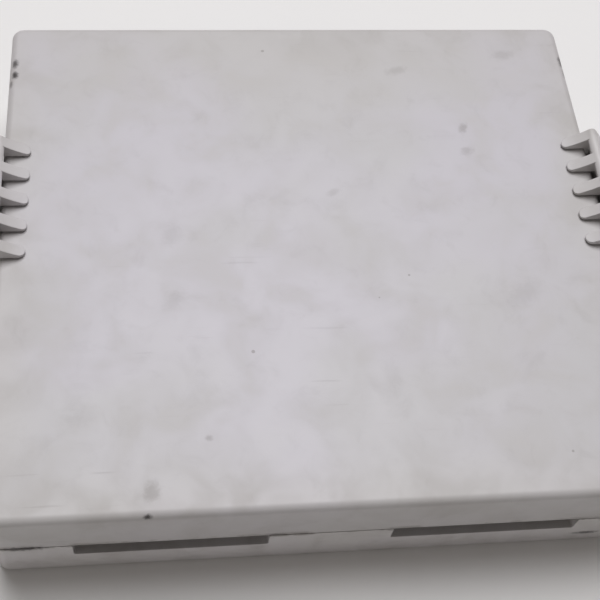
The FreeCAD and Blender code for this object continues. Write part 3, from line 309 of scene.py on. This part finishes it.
def soil_layers(w, z, patch, near_rim, soil):
    """Grime in patches, grime along the rim, dirt in the seam and scattered specks."""
    cloud = w.step(w.noise(GRIME, detail=6.0, rough=0.68, warp=0.6), 0.48, 0.80)
    grime = w.math("MULTIPLY", cloud, GRIME_SHARE * soil)
    on_rim = w.math("MULTIPLY", near_rim, w.step(patch, 0.40, 0.70))
    rim_grime = w.math("MULTIPLY", on_rim, RIM_GRIME_SHARE * soil)
    from_seam = w.math("ABSOLUTE", w.math("SUBTRACT", z, SEAM_Z))
    in_seam = w.step(from_seam, SEAM_REACH, SEAM_CORE)
    broken = w.step(w.noise(SEAM_SOIL, detail=3.0, rough=0.6), 0.44, 0.62, to_high=SEAM_SHARE * soil)
    seam_dirt = w.math("MULTIPLY", in_seam, broken)

    distance, tint = w.cells(SPECK_SPACING)
    picked = w.step(w.axes(tint)[0], 0.80, 0.84)
    spread = w.step(w.axes(tint)[1], 0.0, 1.0, 0.022, 0.060)
    speck = w.math("MULTIPLY", picked, w.math("LESS_THAN", distance, spread))
    return [grime, rim_grime, seam_dirt, w.math("MULTIPLY", speck, SPECK_SHARE * soil)]


def scratch_mask(w):
    """Fine scratches in two directions, in some areas only."""
    first, second = SCRATCH_WIDTHS
    streak_a = w.noise(first, detail=2.0, at=w.mapped(turn=(0, 0, 0.62), scale=(0.035, 1.0, 1.0)))
    streak_b = w.noise(second, detail=2.0, at=w.mapped(turn=(0, 0, -1.10), scale=(0.030, 1.0, 1.0)))
    where = w.step(w.noise(SCRATCHED_AREA, detail=2.0), 0.48, 0.66)
    streaks = w.highest([w.step(streak_a, 0.695, 0.735), w.step(streak_b, 0.705, 0.745)])
    return w.math("MULTIPLY", where, streaks)


def shell_plastic(name, marks, scuffs, soil=1.0, tone=1.0):
    """Moulded white plastic that has been handled: mottled, speckled, scratched and soiled."""
    w = Weave(name)
    broad = w.noise(MOTTLE, detail=2.0, warp=0.3)
    patch = w.noise(PATCH, rough=0.55, warp=0.5)
    fine = w.noise(FLECK, detail=4.0, rough=0.65)
    # The tone scales the plastic's colours. On the base it is painted light that lifts the plastic against
    # the floor's shade.
    warm = shaded(SHELL_WARM, tone)
    colour = w.blend(w.step(broad, 0.38, 0.66), shaded(SHELL_LILAC, tone), shaded(SHELL, tone))
    colour = w.blend(w.step(patch, 0.42, 0.78, to_high=PATCH_SHARE), colour, warm)

    x, y, z = w.axes(w.place)
    near_rim = near_rim_mask(w, x, y)
    wavering = w.math("ADD", y, w.math("MULTIPLY", broad, AGED_WAVER))
    aged = w.step(wavering, AGED_FROM, AGED_TO, to_high=AGED_SHARE)
    colour = w.blend(w.math("MAXIMUM", aged, w.math("MULTIPLY", near_rim, RIM_WARMTH)), colour, warm)

    layers = soil_layers(w, z, patch, near_rim, soil)
    scratch = scratch_mask(w)
    ragged = w.noise(TORN_EDGE, detail=5.0, rough=0.7, warp=0.5)
    layers.append(w.math("MULTIPLY", scratch, SCRATCH_SHARE))
    if marks:
        layers.append(mark_mask(w, marks, ragged))
    dirt = w.math("MINIMUM", w.total(layers), DIRT_LIMIT)
    colour = w.blend(dirt, colour, SOIL)
    if scuffs:
        colour = w.blend(mark_mask(w, scuffs, ragged), colour, SCUFF)
    worn = w.math("MULTIPLY", w.edge(EDGE_WEAR), w.step(fine, 0.42, 0.62))
    rubbed = shaded(shaded(SHELL, WEAR_GAIN), tone, limit=BRIGHTEST)
    colour = w.blend(w.math("MULTIPLY", worn, WEAR_SHARE), colour, rubbed)

    rough = w.total([w.step(patch, 0.3, 0.7, 0.40, 0.50), w.math("MULTIPLY", dirt, 0.22),
                     w.math("MULTIPLY", worn, -0.08), w.math("MULTIPLY", scratch, 0.12)])
    grain = w.noise(GRAIN, detail=2.0, rough=0.6)
    ripple = w.noise(RIPPLE, detail=2.0, rough=0.45)
    w.bump([(grain, 0.20, 0.00003), (ripple, 0.05, 0.00020),
            (scratch, -0.18, 0.00002), (fine, 0.06, 0.00004)], soften=EDGE_SOFT)
    return w.finish(colour, rough, Specular_IOR_Level=0.42)


def inner_plastic(name, light, warm, grain, rough, soil=0.10):
    """Smooth moulded plastic inside the case: faint flow marks, dust in patches, rubbed edges."""
    w = Weave(name)
    flow = w.noise(0.018, at=w.mapped(scale=(0.45, 1.0, 1.0)), warp=1.2)
    fine = w.noise(0.0014, detail=4.0, rough=0.6)
    colour = w.blend(w.step(flow, 0.35, 0.68), light, warm)
    dust = w.math("MULTIPLY", w.step(w.noise(0.0048, detail=6.0, rough=0.7, warp=0.4), 0.50, 0.76), soil)
    colour = w.blend(dust, colour, shaded(warm, 0.45, lift=0.10))
    worn = w.math("MULTIPLY", w.edge(0.0004), w.step(fine, 0.40, 0.60))
    rubbed = shaded(light, 1.30, lift=0.02, limit=BRIGHTEST)
    colour = w.blend(w.math("MULTIPLY", worn, 0.35), colour, rubbed)
    dull = w.total([w.step(fine, 0.35, 0.65, *rough), w.math("MULTIPLY", dust, 0.6)])
    w.bump([(w.noise(grain, detail=2.0, rough=0.6), 0.18, 0.00002), (flow, 0.08, 0.00015)])
    return w.finish(colour, dull, Specular_IOR_Level=0.45)


def soft_rubber():
    """Soft moulded rubber with lint and a patchy bloom."""
    w = Weave("holder_rubber")
    bloom = w.noise(0.0075, detail=4.0, rough=0.6, warp=0.7)
    lint = w.noise(0.00045, detail=2.0, at=w.mapped(turn=(0.2, 0.1, 0.8), scale=(0.12, 1.0, 1.0)))
    dust = w.highest([w.step(bloom, 0.48, 0.74, to_high=0.55), w.step(lint, 0.66, 0.72, to_high=0.45)])
    colour = w.blend(dust, RUBBER, RUBBER_DUST)
    rough = w.step(bloom, 0.3, 0.7, 0.62, 0.78)
    w.bump([(w.noise(0.00022, detail=2.0, rough=0.6), 0.25, 0.00003)])
    return w.finish(colour, rough, Specular_IOR_Level=0.30, Sheen_Weight=0.15, Sheen_Roughness=0.5)


def shrink_film():
    """Clear shrink film, slightly clouded, with fine wrinkles across its length."""
    w = Weave("sleeve_film")
    cloud = w.noise(0.0032, rough=0.6, warp=0.6)
    wrinkle = w.noise(0.0009, rough=0.55, at=w.mapped(scale=(1.0, 0.15, 0.15)))
    colour = w.blend(w.step(cloud, 0.35, 0.70), FILM, FILM_CLOUD)
    rough = w.step(cloud, 0.35, 0.70, 0.14, 0.30)
    w.bump([(wrinkle, 0.25, 0.00005)])
    return w.finish(colour, rough, Transmission_Weight=0.55, IOR=1.45, Coat_Weight=0.2)


def ceramic():
    """Polished zirconia with fine grinding rings."""
    w = Weave("ceramic")
    ring = w.noise(0.00018, detail=2.0, at=w.mapped(scale=(1.0, 0.1, 1.0)))
    tone = w.noise(0.0030)
    colour = w.blend(w.step(tone, 0.35, 0.70), CERAMIC, CERAMIC_DEEP)
    w.bump([(ring, 0.10, 0.00001)])
    return w.finish(colour, w.step(ring, 0.3, 0.7, 0.12, 0.22), Coat_Weight=0.4)


def zinc_steel(name, rough, along):
    """Plated steel: brushed along one direction, with dull spots and rubbed edges."""
    w = Weave(name)
    brushed = w.noise(0.00016, rough=0.6, at=w.mapped(scale=along))
    spots = w.noise(0.0013, detail=5.0, rough=0.65, warp=0.5)
    dulled = w.step(spots, 0.46, 0.72)
    colour = w.blend(w.math("MULTIPLY", dulled, 0.7), ZINC, ZINC_DULL)
    worn = w.math("MULTIPLY", w.edge(0.00025), w.step(brushed, 0.40, 0.60))
    colour = w.blend(w.math("MULTIPLY", worn, 0.5), colour, shaded(ZINC, 1.25, limit=BRIGHTEST))
    dull = w.total([w.step(brushed, 0.3, 0.7, *rough), w.math("MULTIPLY", dulled, 0.14)])
    w.bump([(brushed, 0.16, 0.00001), (spots, 0.08, 0.00002)])
    return w.finish(colour, dull, Metallic=1.0)


def floor_paint():
    """A plain pale floor with the faintest unevenness."""
    w = Weave("floor_paint")
    tone = w.noise(0.25)
    colour = w.blend(w.step(tone, 0.3, 0.7), FLOOR, FLOOR_DULL)
    w.bump([(w.noise(0.0012, rough=0.6), 0.05, 0.00010)])
    return w.finish(colour, w.step(tone, 0.3, 0.7, 0.62, 0.72), Specular_IOR_Level=0.20)


# ---------------------------------------------------------------- materials onto the CAD nodes
def dress(material, names):
    for name in names:
        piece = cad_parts[name]
        piece.data.materials.clear()
        piece.data.materials.append(material)


def four(stem):
    return [f"{stem}_{i}" for i in range(1, 5)]


dress(shell_plastic("cover_plastic", MARKS, SCUFFS), ["cover"])
# The base gets the shell colours lightened by a fifth (tone 1.20). This is painted light that offsets the
# shade the floor casts on its front.
dress(shell_plastic("case_plastic", [], SCUFFS, soil=1.5, tone=1.20), ["base"])
dress(shell_plastic("latch_plastic", [], [], soil=1.2, tone=1.14), ["latch_left", "latch_right"])
dress(inner_plastic("inner_plastic", INNER, INNER_WARM, grain=0.0003, rough=(0.34, 0.46)),
      ["splice_tray", "adapter_retainer"])
dress(inner_plastic("adapter_blue", ADAPTER_BLUE, ADAPTER_DEEP, grain=0.0002, rough=(0.30, 0.42), soil=0.06),
      four("adapter"))
dress(inner_plastic("cap_plastic", CAP_GREY, CAP_WORN, grain=0.0002, rough=(0.42, 0.58), soil=0.25),
      four("port_cap"))
dress(inner_plastic("plug_blue", PLUG_BLUE, PLUG_DEEP, grain=0.0002, rough=(0.26, 0.38), soil=0.05),
      four("pigtail_plug"))
dress(inner_plastic("boot_plastic", BOOT_BLUE, BOOT_DEEP, grain=0.0002, rough=(0.46, 0.60), soil=0.12),
      ["plug_boots"])
dress(inner_plastic("fiber_jacket", JACKET, JACKET_DEEP, grain=0.0001, rough=(0.34, 0.46), soil=0.05),
      four("pigtail_fiber"))
dress(inner_plastic("clamp_plastic", CLAMP_BLACK, CLAMP_WORN, grain=0.0002, rough=(0.38, 0.52), soil=0.25),
      ["cable_clamp_left", "cable_clamp_right"])
dress(soft_rubber(), ["splice_holder"])
dress(shrink_film(), ["splice_sleeves"])
dress(ceramic(), ["adapter_sleeves", "plug_ferrules"])
dress(zinc_steel("screw_steel", rough=(0.24, 0.40), along=(1.0, 1.0, 0.1)),
      ["tray_screws", "clamp_screws", "retainer_screw"])
dress(zinc_steel("rod_steel", rough=(0.20, 0.34), along=(0.05, 1.0, 1.0)), ["sleeve_rods"])
dress(zinc_steel("spring_steel", rough=(0.18, 0.32), along=(1.0, 0.08, 1.0)),
      ["adapter_clips", "latch_spring_left", "latch_spring_right", "latch_pin_left", "latch_pin_right"])


# ---------------------------------------------------------------- floor
FLOOR_HALF = 2.0
mesh = bpy.data.meshes.new("floor")
corners = [(-1, -1), (1, -1), (1, 1), (-1, 1)]
mesh.from_pydata([(x * FLOOR_HALF, y * FLOOR_HALF, case_low[2]) for x, y in corners], [], [(0, 1, 2, 3)])
floor = bpy.data.objects.new("floor", mesh)
bpy.context.scene.collection.objects.link(floor)
mesh.materials.append(floor_paint())


# ---------------------------------------------------------------- light
def area_light(name, place, size, power, colour):
    """A round lamp that faces the middle of the box's underside."""
    lamp = bpy.data.lights.new(name, "AREA")
    lamp.shape = "DISK"
    lamp.size = size
    lamp.energy = power
    lamp.color = colour
    holder = bpy.data.objects.new(name, lamp)
    holder.location = place
    holder.rotation_euler = (-Vector(place)).to_track_quat("-Z", "Y").to_euler()
    bpy.context.scene.collection.objects.link(holder)


area_light("overhead", place=(0.10, 0.66, 1.65), size=1.30, power=26.3, colour=(0.985, 0.98, 1.0))
area_light("left_fill", place=(-1.3, -0.7, 0.7), size=1.0, power=0.5, colour=(1.0, 0.90, 0.82))
SKY_STRENGTH = 0.165

world = bpy.data.worlds.new("soft_room")
world.use_nodes = True
sky = world.node_tree.nodes["Background"]
sky.inputs["Color"].default_value = SKY
sky.inputs["Strength"].default_value = SKY_STRENGTH
bpy.context.scene.world = world

# ---------------------------------------------------------------- camera
CAMERA_ELEVATION = math.radians(57.82)
CAMERA_AZIMUTH = math.radians(-12.24)
CAMERA_ROLL = math.radians(8.97)
CAMERA_DISTANCE = 1.9954 * 2 * HALF_W
CAMERA_TARGET = Vector((0.0, 0.00872, 0.0))
CAMERA_LENS = 65.89
CAMERA_SHIFT = (0.0035, -0.0582)
SENSOR_WIDTH = 36.0
CLIP_START = 0.01

back = Vector((math.sin(CAMERA_AZIMUTH) * math.cos(CAMERA_ELEVATION),
               -math.cos(CAMERA_AZIMUTH) * math.cos(CAMERA_ELEVATION), math.sin(CAMERA_ELEVATION)))
level = Vector((math.cos(CAMERA_AZIMUTH), math.sin(CAMERA_AZIMUTH), 0.0))
upward = back.cross(level)
right = math.cos(CAMERA_ROLL) * level + math.sin(CAMERA_ROLL) * upward
up = math.cos(CAMERA_ROLL) * upward - math.sin(CAMERA_ROLL) * level
lens = bpy.data.cameras.new("camera")
lens.lens = CAMERA_LENS
lens.sensor_width = SENSOR_WIDTH
lens.shift_x, lens.shift_y = CAMERA_SHIFT
lens.clip_start = CLIP_START
camera = bpy.data.objects.new("camera", lens)
spot = CAMERA_TARGET + back * CAMERA_DISTANCE
camera.matrix_world = Matrix((
    (right.x, up.x, back.x, spot.x),
    (right.y, up.y, back.y, spot.y),
    (right.z, up.z, back.z, spot.z),
    (0, 0, 0, 1),
))
bpy.context.scene.collection.objects.link(camera)
bpy.context.scene.camera = camera

scene = bpy.context.scene
scene.view_settings.view_transform = "Standard"
scene.view_settings.look = "None"
